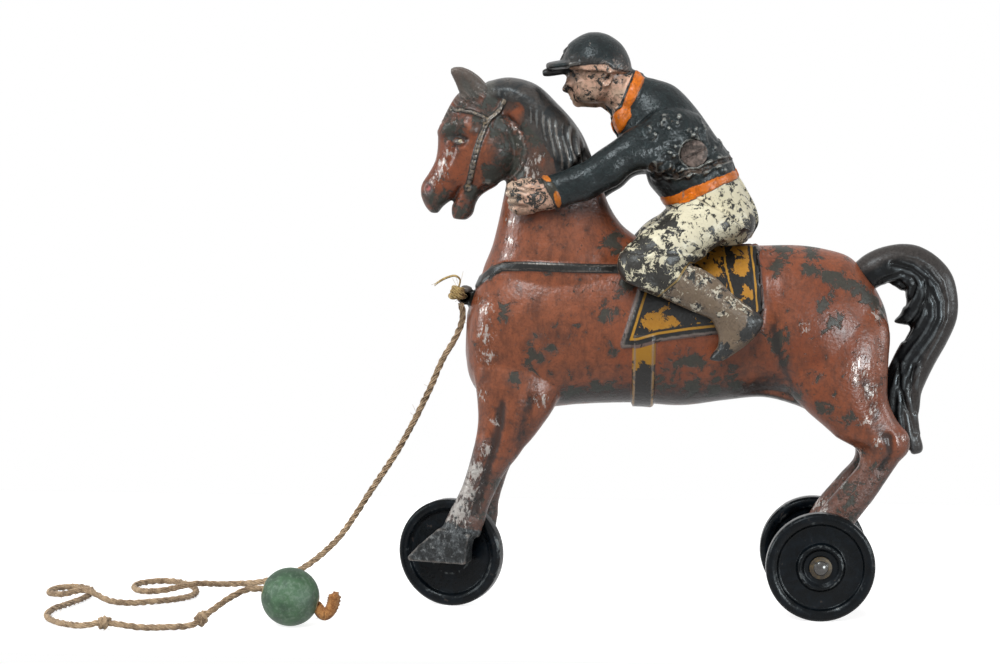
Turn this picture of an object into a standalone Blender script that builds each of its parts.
"""Cast iron pull toy: a jockey crouching on a striding horse, on one front and two rear wheels.

The horse faces -X and stands on the floor z = 0, and y = 0 is the parting plane of its castings.
Lengths are in millimetres here, and each finished piece is scaled to metres. Heights in the
outlines are above the line of the axles, because the wheels carry everything else.
"""
import math

import bmesh
import bpy
import numpy as np
from mathutils import Matrix, Vector

MM = 0.001

# Running gear
WHEEL_RADIUS = 18.0
WHEEL_WIDTH = 5.6
WHEEL_SIDES = 24
RIM_DEPTH = 3.9
DISH_DEPTH = 1.7
HUB_RADIUS = 7.7
HUB_RING = 1.8
HUB_RECESS = 1.0
WHEELBASE = 122.4
FRONT_AXLE_X = -74.1
FRONT_AXLE_TURN = math.radians(18)
REAR_TRACK = 36.0
AXLE_RADIUS = 1.9
AXLE_HEAD_RADIUS = 3.8
AXLE_HEAD_THICK = 0.8
PEEN_RADIUS = 2.5
PEEN_HEIGHT = 1.2
PEEN_SHOULDER = (0.65, 0.8)
SOCKET_WALL = 2.0
HOOF_THICK = 7.0
HIND_HOOF_INSIDE = 4.6
WHEEL_SIDE_PLAY = 1.2
WHEEL_ROOM = 1.2
EDGE = 0.35
LEG_BEND_TOP = 63.0
LEG_BEND_FOOT = 26.0
NEAR_LEG_BEND_POWER = 2.0
FAR_LEG_BEND_POWER = 1.1

# Castings
BARREL_HALF_WIDTH = 18.0
HORSE_WALL = 3.0
JOCKEY_WALL = 2.6
CLOTH_RELIEF = 0.9
STRAP_RELIEF = 0.7
BRIDLE_RELIEF = 0.5
GIRTH_WIDTH = 7.6
GIRTH_RELIEF = 1.3
JOCKEY_CAVITY_TRIANGLES = 260
FAR_HALF_TURN = math.radians(2.6)
FAR_ARM_DROP = 2.2

# Fasteners and small parts
RIVET_RADIUS = 2.0
RIVET_HEAD_RADIUS = 3.6
RIVET_HEAD_DEPTH = 1.4
RIVET_SUNK = 0.3
RIVET_HEAD_Y = BARREL_HALF_WIDTH + CLOTH_RELIEF - RIVET_SUNK
RIVET_BOSS_RADIUS = 5.0
DOWEL_RADIUS = 1.5
DOWEL_LENGTH = 2.5
DOWEL_BOSS_RADIUS = 3.6
SCREW_RADIUS = 1.8
SCREW_HEAD_RADIUS = 4.5
SCREW_HEAD_THICK = 1.9
SCREW_BOSS_RADIUS = 6.4
SCREW_SEAT_Y = 10.1
SCREW_REACH = 7.5
SHANK_OVERLAP = 0.5
SCREW_SLOT_WIDTH = 1.0
SCREW_SLOT_DEPTH = 0.8
SCREW_SLOT_TURN = math.radians(27)
TANG_RADIUS = 2.3
TANG_HEAD_RADIUS = 3.8
TANG_HEAD_THICK = 1.8
TANG_REACH = 1.5
TANG_OVERLAP = 2.5
LUG_RADIUS = 3.1
LUG_HOLE_RADIUS = 1.6
LUG_WIDTH = 2.8
LUG_ROOT = 4.6
LUG_REACH = 5.0

# Pull string
STRING_DIAMETER = 2.2
BEAD_DIAMETER = 19.0
STRING_POINTS = 80
STRING_STEPS = 20
BORE_SHARES = (-0.95, -0.5, 0.0, 0.5, 0.94)
BEAD_ARCS = 9
KNOT_RADIUS = 2.3
KNOT_LENGTH = 5.0
KNOT_BORE_GAP = 0.5
KNOT_SHOULDER = (0.85, 0.7)
LOOP_RADIUS = 0.9
LOOP_STEPS = 12

# Clearances
PARTING_GAP = 0.3
SEAT_GAP = 0.3
RUNNING_GAP = 0.3

# How finely the pieces are meshed
ROUND_SIDES = 24
HEAD_SIDES = 20
HOLE_SIDES = 16
BOSS_SIDES = 12
SCREW_SIDES = 28
MERGE_DISTANCE = 0.001
CASTING_VOXEL = 0.75
CAVITY_VOXEL = 1.3
HORSE_TRIANGLES = 2400
JOCKEY_TRIANGLES = 1250
TAIL_TRIANGLES = 480
CAVITY_TRIANGLES = 320
MELT_LOSS = 0.25

# Outline stations of the castings. A station is one oval section: the two ends of its long
# axis as (x, height above the axle line), the middle's distance from the parting plane, and
# half the width.
BARREL = [
    ((-69.6, 80.7), (-70, 67.5), 0, 0.22),
    ((-66.8, 88.7), (-68.5, 59.5), 0, 0.61),
    ((-62.5, 96.2), (-64.5, 53.7), 0, 0.81),
    ((-54, 101.2), (-56, 50.7), 0, 0.94),
    ((-43, 103.7), (-44, 49.7), 0, 1),
    ((-30, 104.7), (-31, 51), 0, 1),
    ((-14, 104.9), (-14, 51.7), 0, 1),
    ((2, 104.1), (2, 51), 0, 1),
    ((16, 103.9), (16, 52.9), 0, 1),
    ((29, 104.3), (29, 54.2), 0, 1),
    ((40, 104.5), (40, 51.7), 0, 1),
    ((49.2, 103.3), (50, 47.7), 0, 0.97),
    ((57.3, 100.7), (58, 49.7), 0, 0.86),
    ((63.5, 94.2), (64.5, 55.7), 0, 0.69),
    ((68.4, 85.7), (69, 63.7), 0, 0.47),
    ((70.6, 78.2), (70.6, 71.7), 0, 0.22),
]

NECK = [
    ((-66, 87.7), (-6, 97.7), 0, 15.5),
    ((-64.2, 95.7), (-12, 105.3), 0, 15),
    ((-61.5, 102.7), (-18.5, 110.5), 0, 13.8),
    ((-59.6, 110.2), (-22.8, 116.7), 0, 12.5),
    ((-58.2, 117.2), (-25.8, 124.2), 0, 11.3),
    ((-56.9, 124.2), (-29, 133.2), 0, 10.3),
    ((-56, 131.7), (-33, 141.7), 0, 9.4),
    ((-57.5, 139.7), (-39.5, 149.3), 0, 8.4),
    ((-61, 146.7), (-48, 156.3), 0, 7.2),
    ((-66, 151.2), (-58, 158.5), 0, 5.4),
]

HEAD = [
    ((-69, 155.9), (-58, 155.7), 0, 4.5),
    ((-73.5, 153.3), (-55.5, 150.2), 0, 6.8),
    ((-77, 147.5), (-53, 143.7), 0, 8.2),
    ((-79.5, 141.2), (-52.2, 136.2), 0, 8.6),
    ((-79.8, 135.7), (-54, 128.7), 0, 8.2),
    ((-80.6, 131.2), (-60.5, 123.9), 0, 7),
    ((-82.6, 127.2), (-68, 122), 0, 5.8),
    ((-84.9, 123.5), (-73.2, 119.9), 0, 5.2),
    ((-85.2, 119.9), (-76.2, 117.7), 0, 4.8),
    ((-83.8, 116.3), (-78.2, 116), 0, 3.8),
    ((-82, 114), (-79.8, 113.8), 0, 2),
]

JAW = [
    ((-69, 127.7), (-60, 123.5), 0, 6),
    ((-71.5, 123.7), (-65.2, 120.3), 0, 5),
    ((-74, 119.2), (-67.2, 117.3), 0, 4.2),
    ((-75, 115.3), (-68.2, 113.7), 0, 3.8),
    ((-74.6, 112.1), (-70.4, 111.7), 0, 2.8),
]

MANE = [
    ((-64.5, 157.3), (-62, 150.7), 0, 6),
    ((-56.3, 158.9), (-54, 147.7), 0, 8.2),
    ((-47.5, 156.6), (-48, 141.2), 0, 9.8),
    ((-40.4, 150.3), (-45.5, 133.7), 0, 10.9),
    ((-34.6, 143.9), (-44.5, 127.2), 0, 11.8),
    ((-30.4, 136.6), (-42, 121.7), 0, 12.4),
    ((-27.4, 128.7), (-37.5, 119.7), 0, 12.2),
]

# The ears, front legs and hind legs are given for one side. A front leg's x is from the front
# axle and a hind leg's from the rear axle.
EAR = [
    ((-71.2, 149.9), (-61.2, 150.7), 4.3, 2.6),
    ((-73.2, 154.1), (-63.6, 154.9), 4.8, 2.4),
    ((-75.1, 158.1), (-67, 159), 5.4, 1.9),
    ((-77, 162), (-71.6, 162.7), 6, 1.2),
]

FRONT_LEG = [
    ((5, 74), (37, 72), 7.4, 5),
    ((6.9, 63.7), (37, 60.7), 8.7, 7),
    ((8.4, 54.7), (34.4, 51.7), 9.3, 7.4),
    ((9, 46.7), (29.2, 43.5), 9.2, 6.6),
    ((8.4, 39.7), (24.4, 36.8), 8.9, 5.6),
    ((6.9, 31.2), (18.4, 28.7), 8.5, 4.8),
    ((5.3, 24.7), (15.6, 22.2), 8.1, 4.3),
    ((3.3, 19.3), (13.7, 16.5), 7.8, 4.0),
    ((1.2, 14.4), (13.0, 11.4), 7.6, 3.8),
    ((-0.5, 9.3), (11.9, 6.3), 7.5, 3.6),
]

HIND_LEG = [
    ((-12, 84), (16, 88), 7.4, 5.4),
    ((-14.4, 73.7), (21.4, 78.7), 8.6, 7.4),
    ((-13, 58.7), (21.4, 67.7), 9.6, 8.2),
    ((-6.3, 50.1), (21.2, 59.7), 9.8, 7.6),
    ((1.2, 44.6), (21.8, 53.7), 9.6, 6.8),
    ((6.9, 40.3), (25, 47.3), 9.4, 5.9),
    ((11, 37.1), (28.8, 42.7), 9.2, 5.2),
    ((11.4, 33.3), (28.6, 36.7), 9.2, 4.9),
    ((8.2, 28.7), (25, 30.3), 9.2, 4.6),
    ((4.6, 23.1), (19.8, 23.7), 9.3, 4.5),
    ((0.6, 17.7), (14.6, 17.5), 9.4, 4.5),
    ((-2.9, 11.7), (9.8, 10.7), 9.5, 4.6),
    ((-5.8, 6.2), (7, 5.2), 9.7, 4.8),
]

TAIL = [
    ((58.8, 98.8), (65, 90.3), 0, 4.6),
    ((62.8, 102), (68, 92.1), 0, 5),
    ((68.2, 104.4), (71, 92.2), 0, 5),
    ((74, 105.3), (73.6, 90.7), 0, 5),
    ((80, 104.3), (75.8, 88.9), 0, 5),
    ((86, 100.8), (75.8, 86.5), 0, 5),
    ((90.6, 95.3), (74.4, 82.3), 0, 5),
    ((92.6, 87.7), (72.4, 79.6), 0, 4.9),
    ((92.3, 80.7), (76.9, 78.2), 0, 4.8),
    ((89.4, 73.4), (75.2, 73.7), 0, 4.6),
    ((86, 67), (72.8, 67.9), 0, 4.4),
    ((83.3, 61.3), (70.2, 61.7), 0, 4.2),
    ((81.2, 55.7), (68.4, 55.3), 0, 4),
    ((80.4, 49.3), (69.4, 48.3), 0, 3.8),
    ((80.7, 43.7), (73.4, 42.1), 0, 3.5),
    ((82.1, 38.7), (77.4, 37.5), 0, 2.9),
    ((82.3, 36.6), (79.8, 35.9), 0, 2),
]

# The jockey's limbs are given for one side.
TORSO = [
    ((-22.5, 147.7), (-13.5, 160), 0, 5.6),
    ((-21.2, 142.9), (-8, 158.9), 0, 7.8),
    ((-18.8, 137.9), (-1.6, 156.5), 0, 10.2),
    ((-15, 133.1), (5, 149.9), 0, 11.6),
    ((-11.2, 128.9), (11.6, 140.9), 0, 12),
    ((-9.5, 124.3), (16.6, 133.9), 0, 11.6),
    ((-5.6, 119.7), (19, 127.5), 0, 11),
    ((-3.4, 115.7), (21.6, 122.3), 0, 11.4),
    ((-1, 110.7), (24.6, 116.1), 0, 12),
    ((3.5, 106.3), (25.4, 110.6), 0, 11.6),
    ((8, 103.9), (23, 105.8), 0, 9.5),
]

JOCKEY_NECK = [
    ((-28, 154), (-18.5, 163.7), 0, 6.4),
    ((-23, 149.2), (-14, 160.3), 0, 6),
    ((-18.4, 146.3), (-9, 159.1), 0, 6.6),
]

CHIN_AND_FACE = [
    ((-36, 165.7), (-18.5, 165.7), 0, 8.2),
    ((-36.2, 161.9), (-18.7, 161.2), 0, 8),
    ((-35.8, 158.6), (-19.4, 157.4), 0, 7.4),
    ((-34.8, 155.6), (-20.8, 154.2), 0, 6.6),
    ((-33.6, 153), (-23.6, 151.8), 0, 5.2),
    ((-32, 151.4), (-27, 150.8), 0, 3.6),
]

COLLAR = [
    ((-20.2, 148), (-16, 161.7), 0, 6.8),
    ((-17.6, 142.7), (-11.8, 160.1), 0, 8),
]

CAP = [
    ((-39.2, 162.4), (-16.4, 161.1), 0, 9.7),
    ((-38.6, 166.3), (-17.6, 165.9), 0, 9.3),
    ((-36.4, 170.1), (-20.1, 170.1), 0, 7.4),
    ((-32.8, 172.7), (-24, 172.9), 0, 4.4),
    ((-30.2, 173.8), (-27.2, 173.9), 0, 1.6),
]

VISOR = [
    ((-44.5, 163.5), (-44.3, 162.1), 0, 2.6),
    ((-42.8, 164.2), (-42.4, 161.9), 0, 6.2),
    ((-38.8, 164.9), (-38.4, 162.3), 0, 8.6),
    ((-33.4, 165.5), (-33.4, 162.9), 0, 9),
]

THIGH = [
    ((4, 121.7), (23.5, 110.7), 11.5, 8),
    ((-3, 116.6), (14.6, 106.3), 15, 8),
    ((-8.5, 112.4), (8.6, 103.1), 18.2, 7.4),
    ((-13.8, 108.4), (3.4, 99.3), 20.4, 6.6),
    ((-18, 103.5), (-0.4, 94.9), 21.6, 6),
    ((-19.7, 98.3), (-2.8, 92.3), 22, 5.6),
    ((-18.2, 94.7), (-4.4, 90.1), 22.2, 5),
]

SHIN = [
    ((-12.5, 91.9), (1, 99.3), 22.2, 4.8),
    ((-6.2, 89.3), (6.6, 98.5), 22.4, 4.6),
    ((0.6, 86.3), (12, 95.3), 22.6, 4.2),
    ((6.4, 83.9), (16.8, 90.7), 22.8, 3.9),
    ((10.6, 82.1), (22, 86.7), 22.9, 3.7),
    ((12.4, 79.1), (27, 83.1), 22.9, 3.6),
    ((13.4, 76.1), (27.2, 79.9), 22.8, 3.5),
    ((13, 72.9), (24.4, 75.7), 22.6, 3.2),
    ((11.4, 70.5), (19.4, 71.5), 22.4, 2.7),
    ((10.4, 68.5), (14.6, 68.3), 22.2, 1.8),
]

ARM = [
    ((-6, 150.7), (2, 131.7), 9, 7.2),
    ((-14.2, 144.4), (-5.5, 129.5), 12, 6.4),
    ((-20.5, 140.3), (-14, 129.7), 14.2, 5.7),
    ((-26.7, 135.5), (-21, 124.7), 15.4, 5.1),
    ((-34.3, 130.7), (-28.8, 120.5), 15.6, 4.7),
    ((-41, 128.3), (-37.2, 117.7), 15.4, 4.4),
    ((-44.6, 127.1), (-41, 116.9), 15.2, 4.3),
]

HAND = [
    ((-43, 127.3), (-40.4, 116.5), 15, 3.6),
    ((-47.2, 126.9), (-46, 114.9), 14.6, 4.2),
    ((-53.4, 126.1), (-51.8, 114.3), 14, 4.2),
    ((-57.2, 123.7), (-56, 116.7), 13.6, 3),
]

# The hooves seen from the side, from the middle of their axle.
HOOF = [(-0.7, 9.6), (-3.1, 7.4), (-7.3, 3.9), (-11.9, -0.9), (-11.4, -2.3), (8.9, -2.3), (9.2, 3.4),
        (10.4, 8.0)]
HIND_HOOF = [(-6.0, 7.5), (-9.6, -1.0), (-11.6, -6.5), (5.2, -6.5), (5.6, 0.0), (7.2, 7.5)]

# Rounded forms, as centres above the axle line with their three radii.
JOWL_AT = (-61.0, 0.0, 135.4)
JOWL_RADII = (8.8, 9.8, 10.4)
NOSE_AT = (-36.0, 0.0, 157.2)
NOSE_RADII = (2.2, 1.5, 2.6)

# The string's end knots. The eye knot's middle is ahead of and above the tow lug's hole, and the
# stop knot's lumps are measured from the bead's outlet: along the bore, across, and square to both.
EYE_KNOT_AHEAD = 1.8
EYE_KNOT_RISE = 1.4
EYE_KNOT_RADII = (3.0, 3.0, 3.1)
STOP_KNOT_LUMPS = [((3.2, -1.0, -1.0), (2.9, 3.0, 3.6)), ((4.4, -0.5, 3.4), (2.6, 2.7, 3.2))]

# Harness that is cast on, as outlines seen from the side.
CLOTH = [(-12.0, 95.0), (-15.3, 84.6), (-18.8, 73.0), (-18.4, 71.4), (-12.6, 71.9), (-6.0, 73.8),
         (4.0, 75.4), (14.0, 76.6), (27.6, 76.4), (29.0, 84.8), (28.0, 97.4), (26.6, 108.0), (-8.0, 108.0)]
GIRTH_MIDDLE = -10.9
GIRTH_LOW = 40.0
GIRTH_TOP = 80.0
BREAST_STRAP = [(-72.0, 86.0), (-66.3, 89.0), (-63.0, 92.2), (-57.5, 95.5), (-49.0, 96.0), (-34.5, 95.8),
                (-12.0, 95.3), (-12.0, 98.6), (-34.5, 99.1), (-50.0, 99.4), (-57.0, 98.9), (-61.5, 97.0),
                (-65.0, 93.4), (-72.0, 90.5)]
CHEEK_STRAP = [(-63.0, 143.4), (-64.8, 142.8), (-67.6, 134.2), (-69.6, 128.2), (-70.8, 123.4), (-69.2, 123.0),
               (-67.9, 127.6), (-65.8, 133.8)]

# Where the fasteners sit.
RIVET_AT = (17.0, 79.5)
DOWELS_AT = [(-47.0, 84.0), (44.0, 88.0)]
SCREW_AT = (4.5, 135.3)
LUG_AT = (-70.4, 86.3)
TAIL_ROOT = (62.4, 95.5)
TAIL_ROOT_SLOPE = math.radians(36)

# Route of the string's middle line, in real millimetres above the floor: from the knot on the
# tow lug down to the floor, round two loops and through the bead to its stop knot.
STRING_DROP = [(-71.5, -4.2, 102.2), (-71.0, -3.2, 97.4), (-73.3, -1.5, 90.6), (-77.8, 0.0, 82.6),
               (-82.9, 1.5, 70.6), (-91.4, 4.0, 53.6), (-101.4, 7.0, 37.7), (-113.1, 10.5, 20.0),
               (-126.2, 13.5, 8.6), (-138.4, 15.0, 4.2)]
STRING_LOOP = [(-150.0, 13.0, 3.4), (-161.5, 9.0, 4.0), (-171.5, 7.5, 2.0), (-178.5, 8.5, 1.35),
               (-182.8, 14.5, 1.3), (-181.8, 23.0, 1.3), (-175.5, 28.5, 1.3), (-168.0, 26.0, 1.3),
               (-163.2, 18.5, 1.3), (-161.0, 9.0, 1.3), (-162.0, 0.5, 1.3), (-166.5, -5.5, 1.3),
               (-173.0, -9.5, 1.3)]
STRING_CURL = [(-180.0, -13.0, 1.3), (-188.0, -11.0, 1.7), (-196.5, -5.5, 4.0), (-204.5, -2.5, 2.0),
               (-210.0, 3.0, 1.3), (-209.0, 11.0, 1.3), (-203.0, 15.0, 1.3), (-197.4, 11.0, 1.3),
               (-196.2, 2.5, 1.3), (-197.4, -7.0, 1.3), (-200.4, -16.0, 1.3), (-204.0, -26.0, 1.3),
               (-204.4, -37.5, 1.3), (-199.5, -47.5, 1.3), (-191.0, -53.0, 1.3)]
STRING_FRONT = [(-183.1, -54.4, 2.6), (-172.0, -54.2, 1.3), (-161.5, -53.0, 1.3), (-155.6, -51.6, 1.7)]
STRING_RISE = [(-152.4, -50.4, 3.6), (-148.6, -47.8, 6.4), (-143.6, -44.4, 9.6), (-138.4, -42.0, 11.9)]
BEAD_AT = (-124.6, -41.0)
BEAD_TILT = math.radians(15)
KNOTS_AT = [STRING_FRONT[0], STRING_RISE[0]]


for old in list(bpy.data.objects):
    bpy.data.objects.remove(old, do_unlink=True)


def material(name, colour, roughness, metallic):
    """A plain Principled material."""
    made = bpy.data.materials.new(name)
    made.use_nodes = True
    shader = made.node_tree.nodes["Principled BSDF"]
    shader.inputs["Base Color"].default_value = (*colour, 1)
    shader.inputs["Roughness"].default_value = roughness
    shader.inputs["Metallic"].default_value = metallic
    return made


BAY_PAINT = material("bay_paint_on_iron", (0.21, 0.062, 0.032), 0.45, 0.1)
TAIL_PAINT = material("black_paint_on_tail", (0.02, 0.02, 0.022), 0.4, 0.2)
JACKET_PAINT = material("jockey_paint_on_iron", (0.03, 0.042, 0.045), 0.4, 0.2)
WHEEL_PAINT = material("black_wheel_paint", (0.012, 0.014, 0.016), 0.4, 0.3)
BARE_STEEL = material("rusty_bare_steel", (0.16, 0.11, 0.08), 0.5, 0.8)
TWINE = material("tan_twine", (0.42, 0.3, 0.16), 0.9, 0.0)
STAINED_TWINE = material("stained_twine", (0.36, 0.17, 0.06), 0.9, 0.0)
GREEN_WOOD = material("green_painted_wood", (0.05, 0.12, 0.07), 0.6, 0.0)


def as_object(name, bm):
    """A new object from a bmesh, which is freed."""
    bmesh.ops.recalc_face_normals(bm, faces=bm.faces[:])
    mesh = bpy.data.meshes.new(name)
    bm.to_mesh(mesh)
    bm.free()
    made = bpy.data.objects.new(name, mesh)
    bpy.context.scene.collection.objects.link(made)
    return made


def remove(*objects):
    for used in objects:
        bpy.data.objects.remove(used, do_unlink=True)


def bake(target):
    """Replaces an object's mesh by what its modifiers make of it."""
    seen = target.evaluated_get(bpy.context.evaluated_depsgraph_get())
    shaped = bpy.data.meshes.new_from_object(seen)
    target.modifiers.clear()
    target.data = shaped
    return target


def boolean(target, operation, *cutters):
    """Cuts, joins or keeps what the cutters hold, and removes them."""
    for cutter in cutters:
        change = target.modifiers.new(operation, "BOOLEAN")
        change.operation = operation
        change.solver = "EXACT"
        change.object = cutter
        bake(target)
        remove(cutter)
    return target


def copy_of(source, name):
    made = bpy.data.objects.new(name, source.data.copy())
    bpy.context.scene.collection.objects.link(made)
    return made


def swollen(source, amount):
    """A copy whose surface lies further out by the amount, for reliefs and clearances."""
    grown = copy_of(source, source.name + "_swollen")
    push = grown.modifiers.new("push", "DISPLACE")
    push.strength = amount
    push.mid_level = 0
    return bake(grown)


def finish(target, name, paint):
    """Names a finished piece, scales it to metres and paints it."""
    target.name = name
    target.data.name = name
    target.data.transform(Matrix.Scale(MM, 4))
    target.data.materials.clear()
    target.data.materials.append(paint)
    target.data.shade_smooth()
    target.data.set_sharp_from_angle(angle=math.radians(35))
    return target


def catmull_rom(before, start, end, after, t):
    """The value at share t of the way from start to end, on a curve through all four."""
    return 0.5 * (2 * start + (end - before) * t + (2 * before - 5 * start + 4 * end - after) * t**2
                  + (3 * start - before - 3 * end + after) * t**3)


def ring_edges(ring):
    """The edges of a ring of vertices, each once."""
    return list(dict.fromkeys(edge for vertex in ring for edge in vertex.link_edges))


def between_stations(stations, steps=3):
    """The stations with smooth ones read in between, on Catmull-Rom curves."""
    rows = np.array([[*a, *b, y, half] for a, b, y, half in stations], float)
    rows = np.vstack([2 * rows[0] - rows[1], rows, 2 * rows[-1] - rows[-2]])
    smooth = []
    for i in range(1, len(rows) - 2):
        smooth += [catmull_rom(*rows[i - 1 : i + 3], k / steps) for k in range(steps)]
    smooth.append(rows[-2])
    return smooth


def loft(bm, stations, shift=(0, 0), side=1, inset=-MELT_LOSS, sides=20, bend=None):
    """Skins a closed body over oval sections, moved by the shift and on the given side."""
    rings = []
    for ax, az, bx, bz, y, half in between_stations(stations):
        a = Vector((ax + shift[0], 0, az + shift[1]))
        b = Vector((bx + shift[0], 0, bz + shift[1]))
        if bend:
            a, b = bend(a), bend(b)
        long_half = (b - a) / 2
        if inset > 0 and (long_half.length < inset + 1 or half < inset + 1):
            continue
        long_half = long_half * (1 - inset / long_half.length)
        across = Vector((0, half - inset, 0))
        turn = Matrix((long_half, across, long_half.cross(across).normalized())).transposed().to_4x4()
        turn.translation = (a + b) / 2 + Vector((0, side * y, 0))
        ring = bmesh.ops.create_circle(bm, cap_ends=False, segments=sides, radius=1, matrix=turn)["verts"]
        rings.append(ring_edges(ring))
    for lower, upper in zip(rings, rings[1:]):
        bmesh.ops.bridge_loops(bm, edges=lower + upper)
    for open_end in (rings[0], rings[-1]):
        bmesh.ops.edgeloop_fill(bm, edges=open_end)


def cast_shape(name, bm, triangles, voxel=CASTING_VOXEL, smoothing=6):
    """Melts overlapping lofts into one smooth casting with about the given number of triangles."""
    shape = as_object(name, bm)
    melt = shape.modifiers.new("melt", "REMESH")
    melt.mode = "VOXEL"
    melt.voxel_size = voxel
    soften = shape.modifiers.new("soften", "SMOOTH")
    soften.factor = 0.5
    soften.iterations = smoothing
    bake(shape)
    thin_out = shape.modifiers.new("thin_out", "DECIMATE")
    thin_out.ratio = triangles / sum(len(p.vertices) - 2 for p in shape.data.polygons)
    return bake(shape)


def prism(name, outline, low, high, lift=WHEEL_RADIUS):
    """A side-view outline, raised from the axle line, pulled across from low to high y."""
    bm = bmesh.new()
    corners = [bm.verts.new((x, low, z + lift)) for x, z in outline]
    face = bm.faces.new(corners)
    pulled = bmesh.ops.extrude_face_region(bm, geom=[face])["geom"]
    moved = [v for v in pulled if isinstance(v, bmesh.types.BMVert)]
    bmesh.ops.translate(bm, vec=(0, high - low, 0), verts=moved)
    return as_object(name, bm)


def bar(name, start, end, radius, sides=ROUND_SIDES):
    """A round bar from the start point to the end point."""
    start, end = Vector(start), Vector(end)
    turn = (end - start).to_track_quat("Z", "Y").to_matrix().to_4x4()
    turn.translation = (start + end) / 2
    bm = bmesh.new()
    bmesh.ops.create_cone(bm, cap_ends=True, segments=sides, radius1=radius, radius2=radius,
                          depth=(end - start).length, matrix=turn)
    return as_object(name, bm)


def across(name, place, low, high, radius, sides=ROUND_SIDES):
    """A round bar across the toy at (x, height above the axle line), from low to high y."""
    x, z = place[0], place[1] + WHEEL_RADIUS
    return bar(name, (x, low, z), (x, high, z), radius, sides)


def ball(bm, centre, radii, rings=10):
    """An egg shape added to a bmesh."""
    grow = Matrix.Translation(centre) @ Matrix.Diagonal((*radii, 1))
    bmesh.ops.create_uvsphere(bm, u_segments=2 * rings, v_segments=rings, radius=1, matrix=grow)


def turned(name, profile, sides=WHEEL_SIDES, bored=True, flats_at_radius=True):
    """Spins a profile of (radius, y) round the Y axis, with one of its flats at the bottom.

    The flats lie at the stated radius, or else the corners between them do.
    """
    bm = bmesh.new()
    half_step = math.pi / sides
    grow = 1 / math.cos(half_step) if flats_at_radius else 1
    across_flat, down = grow * math.sin(half_step), grow * math.cos(half_step)
    shape = [bm.verts.new((r * across_flat, y, -r * down)) for r, y in profile]
    edges = [bm.edges.new(pair) for pair in zip(shape, shape[1:])]
    if bored:
        edges.append(bm.edges.new((shape[-1], shape[0])))
    bmesh.ops.spin(bm, geom=shape + edges, axis=(0, 1, 0), cent=(0, 0, 0), angle=2 * math.pi, steps=sides,
                   use_merge=True)
    bmesh.ops.remove_doubles(bm, verts=bm.verts[:], dist=MERGE_DISTANCE)
    return as_object(name, bm)


def half_space(side):
    """A block that holds everything on one side of the parting gap."""
    bm = bmesh.new()
    bmesh.ops.create_cube(bm, size=HALF_SPACE)
    bmesh.ops.translate(bm, vec=(0, side * (HALF_SPACE + PARTING_GAP) / 2, 0), verts=bm.verts[:])
    return as_object("half_space", bm)


UP = Matrix.Translation((0, 0, WHEEL_RADIUS))
LIFT = (0, WHEEL_RADIUS)
WIDE = 2 * BARREL_HALF_WIDTH
HALF_SPACE = 600.0
HOOF_INSIDE = WHEEL_WIDTH / 2 + WHEEL_SIDE_PLAY
HOOF_MIDDLE = HOOF_INSIDE + HOOF_THICK / 2
REAR_AXLE_X = FRONT_AXLE_X + WHEELBASE
REAR_WHEEL_INSIDE = (REAR_TRACK - WHEEL_WIDTH) / 2
FRONT_AXLE = Matrix.Translation((FRONT_AXLE_X, 0, WHEEL_RADIUS)) @ Matrix.Rotation(-FRONT_AXLE_TURN, 4, "Z")


def front_leg_bend(side):
    """The forelegs follow their turned axle: one foot is drawn forward and the other back."""
    step = side * HOOF_MIDDLE * math.sin(FRONT_AXLE_TURN)
    power = FAR_LEG_BEND_POWER if side > 0 else NEAR_LEG_BEND_POWER

    def bend(point):
        low = min(max((LEG_BEND_TOP - point.z) / (LEG_BEND_TOP - LEG_BEND_FOOT), 0), 1)
        return point + Vector((step * low**power, 0, 0))

    return bend


def horse_lofts(bm, inset=-MELT_LOSS):
    """The trunk, neck and head, full size or drawn in by the wall."""
    trunk = [(a, b, y, share * BARREL_HALF_WIDTH) for a, b, y, share in BARREL]
    loft(bm, trunk, LIFT, inset=inset, sides=28)
    loft(bm, NECK, LIFT, inset=inset)
    loft(bm, HEAD, LIFT, inset=inset)


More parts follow.
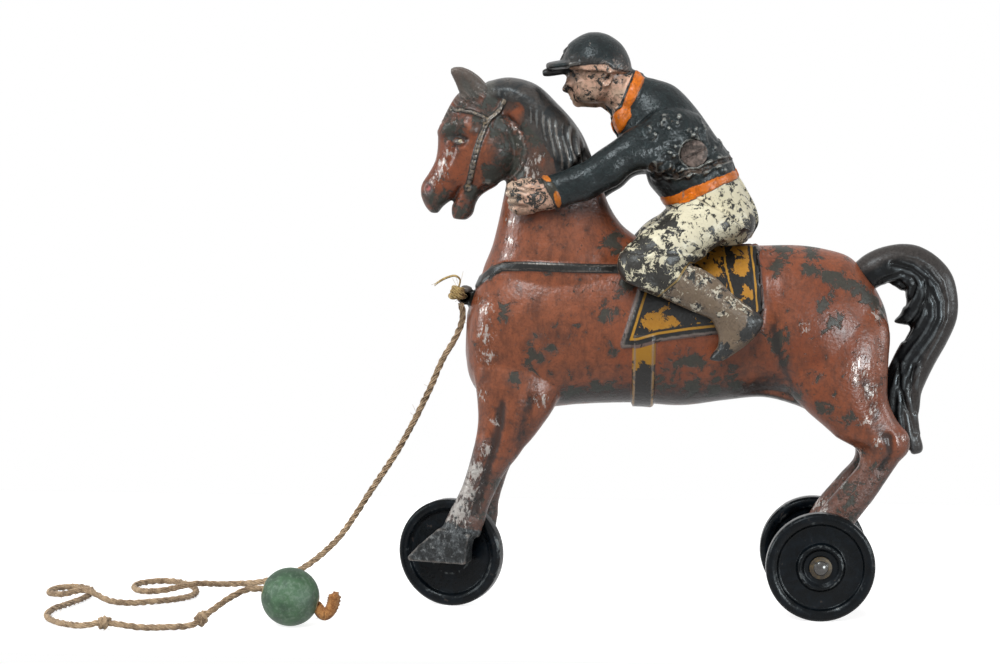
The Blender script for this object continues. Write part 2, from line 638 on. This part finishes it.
def horse_outside():
    """The whole horse as one smooth shape, with its harness cast on."""
    bm = bmesh.new()
    horse_lofts(bm)
    loft(bm, JAW, LIFT, sides=14)
    loft(bm, MANE, LIFT)
    ball(bm, UP @ Vector(JOWL_AT), JOWL_RADII)
    for side in (-1, 1):
        loft(bm, EAR, LIFT, side, sides=12)
        loft(bm, FRONT_LEG, (FRONT_AXLE_X, WHEEL_RADIUS), side, bend=front_leg_bend(side))
        loft(bm, HIND_LEG, (REAR_AXLE_X, WHEEL_RADIUS), side)
    horse = as_object("horse_lofts", bm)
    hooves = []
    for side in (-1, 1):
        inside, outside = sorted((side * HOOF_INSIDE, side * (HOOF_INSIDE + HOOF_THICK)))
        front = prism("front_hoof", HOOF, inside, outside, lift=0)
        front.data.transform(FRONT_AXLE)
        inside, outside = sorted((side * HIND_HOOF_INSIDE, side * (REAR_WHEEL_INSIDE - WHEEL_SIDE_PLAY)))
        hind = prism("hind_hoof", HIND_HOOF, inside, outside)
        hind.data.transform(Matrix.Translation((REAR_AXLE_X, 0, 0)))
        hooves += [front, hind]
    bm = bmesh.new()
    for part in (horse, *hooves):
        bm.from_mesh(part.data)
    remove(horse, *hooves)
    horse = cast_shape("horse", bm, HORSE_TRIANGLES)
    girth_front, girth_back = GIRTH_MIDDLE - GIRTH_WIDTH / 2, GIRTH_MIDDLE + GIRTH_WIDTH / 2
    girth = [(girth_front, GIRTH_LOW), (girth_back, GIRTH_LOW), (girth_back, GIRTH_TOP),
             (girth_front, GIRTH_TOP)]
    reliefs = []
    for name, outline, height in (("cloth", CLOTH, CLOTH_RELIEF), ("girth", girth, GIRTH_RELIEF),
                                  ("breast_strap", BREAST_STRAP, STRAP_RELIEF),
                                  ("cheek_strap", CHEEK_STRAP, BRIDLE_RELIEF)):
        raised = swollen(horse, height)
        reliefs.append(boolean(raised, "INTERSECT", prism(name, outline, -WIDE, WIDE)))
    lug = across("lug", LUG_AT, -LUG_WIDTH / 2, LUG_WIDTH / 2, LUG_RADIUS, HEAD_SIDES)
    root_end = LUG_AT[0] + LUG_REACH
    low, high = LUG_AT[1] - LUG_ROOT / 2, LUG_AT[1] + LUG_ROOT / 2
    root_outline = [(LUG_AT[0], low), (root_end, low), (root_end, high), (LUG_AT[0], high)]
    root = prism("lug_root", root_outline, -LUG_WIDTH / 2, LUG_WIDTH / 2)
    boolean(horse, "UNION", *reliefs, lug, root)
    return horse


def horse_half(name, horse, side):
    """One hollow half casting, with its bosses, sockets and holes."""
    half = copy_of(horse, name)
    boolean(half, "INTERSECT", half_space(side))
    axle_end = HOOF_INSIDE + HOOF_THICK - SOCKET_WALL
    wheel_room = bar("wheel_room", (0, -HOOF_INSIDE, 0), (0, HOOF_INSIDE, 0), WHEEL_RADIUS + WHEEL_ROOM,
                     2 * ROUND_SIDES)
    socket = bar("axle_socket", (0, -axle_end, 0), (0, axle_end, 0), AXLE_RADIUS + SEAT_GAP)
    for cutter in (wheel_room, socket):
        cutter.data.transform(FRONT_AXLE)
    rear_hole = across("rear_hole", (REAR_AXLE_X, 0), -WIDE, WIDE, AXLE_RADIUS + SEAT_GAP)
    rivet_hole = across("rivet_hole", RIVET_AT, -WIDE, WIDE, RIVET_RADIUS + SEAT_GAP)
    head_seat = RIVET_HEAD_Y - RIVET_HEAD_DEPTH - SEAT_GAP
    low, high = sorted((side * head_seat, side * WIDE))
    rivet_seat = across("rivet_seat", RIVET_AT, low, high, RIVET_HEAD_RADIUS + SEAT_GAP)
    lug_hole = across("lug_hole", LUG_AT, -WIDE, WIDE, LUG_HOLE_RADIUS, HOLE_SIDES)
    boolean(half, "DIFFERENCE", wheel_room, socket, rear_hole, lug_hole)

    bm = bmesh.new()
    horse_lofts(bm, HORSE_WALL)
    hollow = cast_shape("hollow", bm, CAVITY_TRIANGLES, voxel=CAVITY_VOXEL)
    bosses = [across("boss", RIVET_AT, -WIDE, WIDE, RIVET_BOSS_RADIUS, HOLE_SIDES)]
    bosses += [across("boss", place, -WIDE, WIDE, DOWEL_BOSS_RADIUS, BOSS_SIDES) for place in DOWELS_AT]
    boolean(hollow, "DIFFERENCE", *bosses)
    boolean(half, "DIFFERENCE", hollow, rivet_hole, rivet_seat, *tang(SEAT_GAP))
    for place in DOWELS_AT:
        if side < 0:
            boolean(half, "UNION", across("dowel", place, -DOWEL_LENGTH, DOWEL_LENGTH, DOWEL_RADIUS, BOSS_SIDES))
        else:
            hole_end = DOWEL_LENGTH + SEAT_GAP + PARTING_GAP
            hole = across("dowel_hole", place, -PARTING_GAP, hole_end, DOWEL_RADIUS + SEAT_GAP, BOSS_SIDES)
            boolean(half, "DIFFERENCE", hole)
    return half


def tang(gap=0):
    """The tail's round tang and its head inside the rump, or their pocket with a gap."""
    outward = Vector((math.cos(TAIL_ROOT_SLOPE), 0, math.sin(TAIL_ROOT_SLOPE)))
    root = UP @ Vector((TAIL_ROOT[0], 0, TAIL_ROOT[1]))
    neck_end = root - outward * (HORSE_WALL + TANG_REACH)
    head_end = neck_end - outward * TANG_HEAD_THICK
    stem = bar("tang", root + outward * TANG_OVERLAP, head_end, TANG_RADIUS + gap, HOLE_SIDES)
    head = bar("tang_head", neck_end + outward * gap, head_end - outward * gap, TANG_HEAD_RADIUS + gap,
               HOLE_SIDES)
    return stem, head


def tail_casting(horse_room):
    bm = bmesh.new()
    loft(bm, TAIL, LIFT, sides=16)
    tail = cast_shape("tail", bm, TAIL_TRIANGLES, smoothing=3)
    boolean(tail, "DIFFERENCE", horse_room)
    return boolean(tail, "UNION", *tang())


def jockey_lofts(bm, inset=-MELT_LOSS):
    loft(bm, TORSO, LIFT, inset=inset)


def jockey_half(name, side, horse_room):
    """One hollow half of the jockey. The far half sits slightly turned about the screw."""
    bm = bmesh.new()
    jockey_lofts(bm)
    for stations in (JOCKEY_NECK, CHIN_AND_FACE, COLLAR, CAP, VISOR):
        loft(bm, stations, LIFT)
    ball(bm, UP @ Vector(NOSE_AT), NOSE_RADII, rings=6)
    for stations in (THIGH, SHIN):
        loft(bm, stations, LIFT, side, sides=14)
    arm_drop = FAR_ARM_DROP if side > 0 else 0
    for stations in (ARM, HAND):
        loft(bm, stations, (0, WHEEL_RADIUS - arm_drop), side, sides=14)
    half = cast_shape(name, bm, JOCKEY_TRIANGLES, smoothing=4)
    bm = bmesh.new()
    jockey_lofts(bm, JOCKEY_WALL)
    hollow = cast_shape("hollow", bm, JOCKEY_CAVITY_TRIANGLES, voxel=CAVITY_VOXEL)
    boolean(hollow, "DIFFERENCE", across("boss", SCREW_AT, -WIDE, WIDE, SCREW_BOSS_RADIUS, HOLE_SIDES))
    boolean(half, "DIFFERENCE", hollow)
    if side > 0:
        pivot = Matrix.Translation((SCREW_AT[0], 0, SCREW_AT[1] + WHEEL_RADIUS))
        half.data.transform(pivot @ Matrix.Rotation(-FAR_HALF_TURN, 4, "Y") @ pivot.inverted())
    boolean(half, "INTERSECT", half_space(side))
    boolean(half, "DIFFERENCE", horse_room)
    hole_end = SCREW_REACH + SEAT_GAP
    hole = across("screw_hole", SCREW_AT, -WIDE, hole_end, SCREW_RADIUS + SEAT_GAP, HOLE_SIDES)
    boolean(half, "DIFFERENCE", hole)
    if side < 0:
        seat_end = -SCREW_SEAT_Y + SEAT_GAP
        seat = across("screw_seat", SCREW_AT, -WIDE, seat_end, SCREW_HEAD_RADIUS + SEAT_GAP, HEAD_SIDES)
        boolean(half, "DIFFERENCE", seat)
    return half


def wheel(name):
    """A dished wheel: rim, web, and a hub with a raised ring, alike on both faces."""
    half = WHEEL_WIDTH / 2
    bore = AXLE_RADIUS + RUNNING_GAP
    rim = WHEEL_RADIUS - RIM_DEPTH
    one_face = [
        (bore, half - HUB_RECESS),
        (HUB_RADIUS - HUB_RING, half - HUB_RECESS),
        (HUB_RADIUS - HUB_RING + EDGE, half),
        (HUB_RADIUS, half),
        (HUB_RADIUS + EDGE, half - DISH_DEPTH),
        (rim, half - DISH_DEPTH),
        (rim + 2 * EDGE, half),
        (WHEEL_RADIUS, half),
    ]
    return turned(name, one_face + [(r, -y) for r, y in reversed(one_face)])


def rear_axle():
    """A plain axle whose two ends are peened over a collar."""
    seat = REAR_TRACK / 2 + WHEEL_WIDTH / 2 - HUB_RECESS + RUNNING_GAP
    collar = seat + AXLE_HEAD_THICK
    end = [
        (0, collar + PEEN_HEIGHT),
        (PEEN_RADIUS * PEEN_SHOULDER[0], collar + PEEN_HEIGHT * PEEN_SHOULDER[1]),
        (PEEN_RADIUS, collar),
        (AXLE_HEAD_RADIUS, collar),
        (AXLE_HEAD_RADIUS, seat),
        (AXLE_RADIUS, seat),
    ]
    profile = end + [(r, -y) for r, y in reversed(end)]
    return turned("rear_axle", profile, sides=HOLE_SIDES, bored=False, flats_at_radius=False)


def jockey_screw():
    """A slotted cheese-head screw that pulls the two halves of the jockey together."""
    face = -SCREW_SEAT_Y - SCREW_HEAD_THICK
    screw = across("jockey_screw", SCREW_AT, face, -SCREW_SEAT_Y, SCREW_HEAD_RADIUS, SCREW_SIDES)
    shank = across("shank", SCREW_AT, -SCREW_SEAT_Y - SHANK_OVERLAP, SCREW_REACH, SCREW_RADIUS, HOLE_SIDES)
    boolean(screw, "UNION", shank)
    bm = bmesh.new()
    bmesh.ops.create_cube(bm, size=1)
    place = Matrix.Translation((SCREW_AT[0], face, SCREW_AT[1] + WHEEL_RADIUS))
    size = Matrix.Diagonal((4 * SCREW_HEAD_RADIUS, 2 * SCREW_SLOT_DEPTH, SCREW_SLOT_WIDTH, 1))
    bm.transform(place @ Matrix.Rotation(-SCREW_SLOT_TURN, 4, "Y") @ size)
    return boolean(screw, "DIFFERENCE", as_object("slot", bm))


def body_rivet():
    rivet = across("body_rivet", RIVET_AT, -RIVET_HEAD_Y, RIVET_HEAD_Y, RIVET_RADIUS, HOLE_SIDES)
    for side in (-1, 1):
        low, high = sorted((side * (RIVET_HEAD_Y - RIVET_HEAD_DEPTH), side * RIVET_HEAD_Y))
        boolean(rivet, "UNION", across("rivet_head", RIVET_AT, low, high, RIVET_HEAD_RADIUS, HEAD_SIDES))
    return rivet


def string_route():
    """The route's points, with the straight way through the bead's bore."""
    along = bead_axis()
    middle = Vector((*BEAD_AT, BEAD_DIAMETER / 2))
    reach = BEAD_DIAMETER / 2
    through = [middle + along * reach * share for share in BORE_SHARES]
    points = STRING_DROP + STRING_LOOP + STRING_CURL + STRING_FRONT + STRING_RISE
    return [Vector(p) for p in points] + through


def bead_axis():
    """The bead's bore falls from the side where the string comes in."""
    return Vector((math.cos(BEAD_TILT), 0, -math.sin(BEAD_TILT)))


def smooth_path(points, count):
    """Points at even steps along a Catmull-Rom curve through the route."""
    ends = [2 * points[0] - points[1], *points, 2 * points[-1] - points[-2]]
    fine = []
    for before, start, end, after in zip(ends, ends[1:], ends[2:], ends[3:]):
        fine += [catmull_rom(before, start, end, after, k / STRING_STEPS) for k in range(STRING_STEPS)]
    fine.append(points[-1])
    lengths = np.cumsum([0] + [(b - a).length for a, b in zip(fine, fine[1:])])
    print("string length", round(float(lengths[-1]), 1), "mm")
    wanted = np.linspace(0, lengths[-1], count)
    table = np.array([tuple(p) for p in fine])
    return [Vector(p) for p in np.stack([np.interp(wanted, lengths, table[:, k]) for k in range(3)], axis=1)]


def pull_string(path):
    curve = bpy.data.curves.new("pull_string", "CURVE")
    curve.dimensions = "3D"
    curve.bevel_depth = STRING_DIAMETER / 2 * MM
    curve.bevel_resolution = 2
    curve.use_fill_caps = True
    line = curve.splines.new("POLY")
    line.points.add(len(path) - 1)
    for point, place in zip(line.points, path):
        point.co = (*(place * MM), 1)
    curve.materials.append(TWINE)
    made = bpy.data.objects.new("pull_string", curve)
    bpy.context.scene.collection.objects.link(made)
    return made


def string_knot(name, place, path):
    """A knot tied in the string, as a lump with room for the string through it."""
    near = min(range(1, len(path) - 1), key=lambda i: (path[i] - place).length)
    along = (path[near + 1] - path[near - 1]).normalized()
    bore = STRING_DIAMETER / 2 + KNOT_BORE_GAP
    half = KNOT_LENGTH / 2
    shoulder, shoulder_at = KNOT_RADIUS * KNOT_SHOULDER[0], half * KNOT_SHOULDER[1]
    outside = [(bore, -half), (shoulder, -shoulder_at), (KNOT_RADIUS, 0), (shoulder, shoulder_at),
               (bore, half)]
    knot = turned(name, outside, sides=BOSS_SIDES, flats_at_radius=False)
    turn = along.to_track_quat("Y", "Z").to_matrix().to_4x4()
    knot.data.transform(Matrix.Translation(path[near]) @ turn)
    return knot


def pull_bead():
    radius = BEAD_DIAMETER / 2
    bore = STRING_DIAMETER / 2 + SEAT_GAP
    start = math.asin(bore / radius)
    arc = [start + (math.pi - 2 * start) * k / BEAD_ARCS for k in range(BEAD_ARCS + 1)]
    profile = [(radius * math.sin(a), -radius * math.cos(a)) for a in arc]
    bead = turned("pull_bead", profile, sides=HOLE_SIDES, flats_at_radius=False)
    turn = bead_axis().to_track_quat("Y", "Z").to_matrix().to_4x4()
    bead.data.transform(Matrix.Translation((*BEAD_AT, radius)) @ turn)
    return bead


def eye_knot():
    """The string's knot beside the tow lug, with the loop that goes through the lug's hole."""
    bm = bmesh.new()
    beside = LUG_WIDTH / 2 + SEAT_GAP + EYE_KNOT_RADII[1]
    middle = UP @ Vector((LUG_AT[0] - EYE_KNOT_AHEAD, -beside, LUG_AT[1] + EYE_KNOT_RISE))
    ball(bm, middle, EYE_KNOT_RADII, rings=6)
    lump = as_object("eye_knot", bm)
    wall_x = LUG_AT[0] - (LUG_RADIUS + LUG_HOLE_RADIUS) / 2
    height = LUG_AT[1] + WHEEL_RADIUS
    half_long = LUG_WIDTH / 2 + LOOP_RADIUS + 2 * SEAT_GAP
    half_wide = LUG_AT[0] - wall_x
    bm = bmesh.new()
    rings = []
    for k in range(LOOP_STEPS):
        a = 2 * math.pi * k / LOOP_STEPS
        place = Vector((wall_x + half_wide * math.cos(a), half_long * math.sin(a), height))
        along = Vector((-half_wide * math.sin(a), half_long * math.cos(a), 0)).normalized()
        side = Vector((0, 0, 1)).cross(along)
        turn = Matrix((side, Vector((0, 0, 1)), along)).transposed().to_4x4()
        turn.translation = place
        ring = bmesh.ops.create_circle(bm, cap_ends=False, segments=6, radius=LOOP_RADIUS, matrix=turn)["verts"]
        rings.append(ring_edges(ring))
    for this_ring, next_ring in zip(rings, rings[1:] + rings[:1]):
        bmesh.ops.bridge_loops(bm, edges=this_ring + next_ring)
    return boolean(lump, "UNION", as_object("loop", bm))


def stop_knot():
    """The fat end knot that the bead rests against."""
    along = bead_axis()
    across_it = Vector((0, 1, 0))
    outlet = Vector((*BEAD_AT, BEAD_DIAMETER / 2)) + along * BEAD_DIAMETER / 2
    made = []
    for (onward, sideways, rise), radii in STOP_KNOT_LUMPS:
        bm = bmesh.new()
        middle = outlet + along * onward + across_it * sideways + along.cross(across_it) * rise
        ball(bm, middle, radii, rings=6)
        made.append(as_object("stop_knot", bm))
    return boolean(made[0], "UNION", made[1])


horse = horse_outside()
horse_room = swollen(horse, SEAT_GAP)
finish(tail_casting(copy_of(horse_room, "room")), "tail", TAIL_PAINT)
finish(jockey_half("jockey_left_half", -1, copy_of(horse_room, "room")), "jockey_left_half", JACKET_PAINT)
finish(jockey_half("jockey_right_half", 1, copy_of(horse_room, "room")), "jockey_right_half", JACKET_PAINT)
finish(horse_half("horse_left_half", horse, -1), "horse_left_half", BAY_PAINT)
finish(horse_half("horse_right_half", horse, 1), "horse_right_half", BAY_PAINT)
remove(horse, horse_room)
finish(jockey_screw(), "jockey_screw", BARE_STEEL)
finish(body_rivet(), "body_rivet", BARE_STEEL)

front_wheel = finish(wheel("front_wheel"), "front_wheel", WHEEL_PAINT)
front_wheel.location = FRONT_AXLE.translation * MM
front_wheel.rotation_euler.z = -FRONT_AXLE_TURN
for side, name in ((-1, "rear_wheel_left"), (1, "rear_wheel_right")):
    rear_wheel = finish(wheel(name), name, WHEEL_PAINT)
    rear_wheel.location = Vector((REAR_AXLE_X, side * REAR_TRACK / 2, WHEEL_RADIUS)) * MM

axle_half = HOOF_INSIDE + HOOF_THICK - SOCKET_WALL - SEAT_GAP
front_bar = bar("front_axle", (0, -axle_half, 0), (0, axle_half, 0), AXLE_RADIUS, HOLE_SIDES)
front_axle = finish(front_bar, "front_axle", BARE_STEEL)
front_axle.location = FRONT_AXLE.translation * MM
front_axle.rotation_euler.z = -FRONT_AXLE_TURN
back_axle = finish(rear_axle(), "rear_axle", BARE_STEEL)
back_axle.location = Vector((REAR_AXLE_X, 0, WHEEL_RADIUS)) * MM

path = smooth_path(string_route(), STRING_POINTS)
pull_string(path)
for name, place in zip(("string_knot_far", "string_knot_near"), KNOTS_AT):
    finish(string_knot(name, Vector(place), path), name, TWINE)
finish(pull_bead(), "pull_bead", GREEN_WOOD)
finish(eye_knot(), "eye_knot", TWINE)
finish(stop_knot(), "stop_knot", STAINED_TWINE)

for made in bpy.context.scene.objects:
    if made.type == "MESH":
        print(made.name, len(made.data.polygons), "faces")
